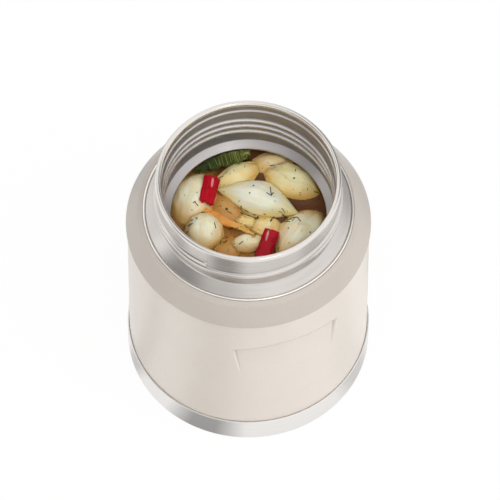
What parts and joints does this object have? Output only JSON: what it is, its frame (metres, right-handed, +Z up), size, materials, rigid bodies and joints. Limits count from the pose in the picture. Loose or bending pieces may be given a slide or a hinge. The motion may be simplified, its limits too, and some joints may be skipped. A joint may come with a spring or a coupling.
{
  "type": "insulated food jar",
  "caption": "Open wide-mouth vacuum food jar with a painted steel body, bare steel neck and base band, filled with onions in broth.",
  "frame": {"origin": "on the jar's axis, in the plane of the foot ring that it stands on", "axes": "+Z up along the jar's axis, -Y towards the side with the shallow recess, +X to the right seen from that side"},
  "size_m": [0.1, 0.1, 0.126],
  "materials": {
    "steel_inner": "drawn stainless steel, bright, fine rings round the axis",
    "steel_neck": "bare stainless steel, satin, turned round the axis",
    "paint_ring": "fine matt powder coat, warm sand grey",
    "paint_body": "fine matt powder coat, warm sand",
    "steel_base": "brushed round the axis, clear",
    "steel_hidden": "plain pressed stainless steel",
    "seal_glass": "dull fused solder glass",
    "foil": "bright wrapped foil",
    "getter": "dull pressed powder",
    "broth": "clear amber broth, wet",
    "onion": "cooked pearl onion, cream, translucent, wet",
    "pepper": "cooked red pepper, glossy",
    "carrot": "cut carrot, wet",
    "leek": "dark green leek leaf with pale veins, wet"
  },
  "bodies": {
    "root": {"inner_vessel": "steel_inner", "outer_neck": "steel_neck", "shoulder_ring": "paint_ring", "body_shell": "paint_body", "base_cup": "steel_base", "vacuum_bottom": "steel_hidden", "vacuum_seal": "seal_glass", "radiation_shield": "foil", "getter_holder": "steel_hidden", "getter_pill": "getter", "broth": "broth", "onion_hero": "onion", "onion_back": "onion", "onion_right": "onion", "onion_left": "onion", "onion_low_left": "onion", "onion_low_right": "onion", "onion_small": "onion", "pepper_left": "pepper", "pepper_right": "pepper", "carrot_short": "carrot", "carrot_long": "carrot", "leek_leaf": "leek"}
  },
  "joints": []
}
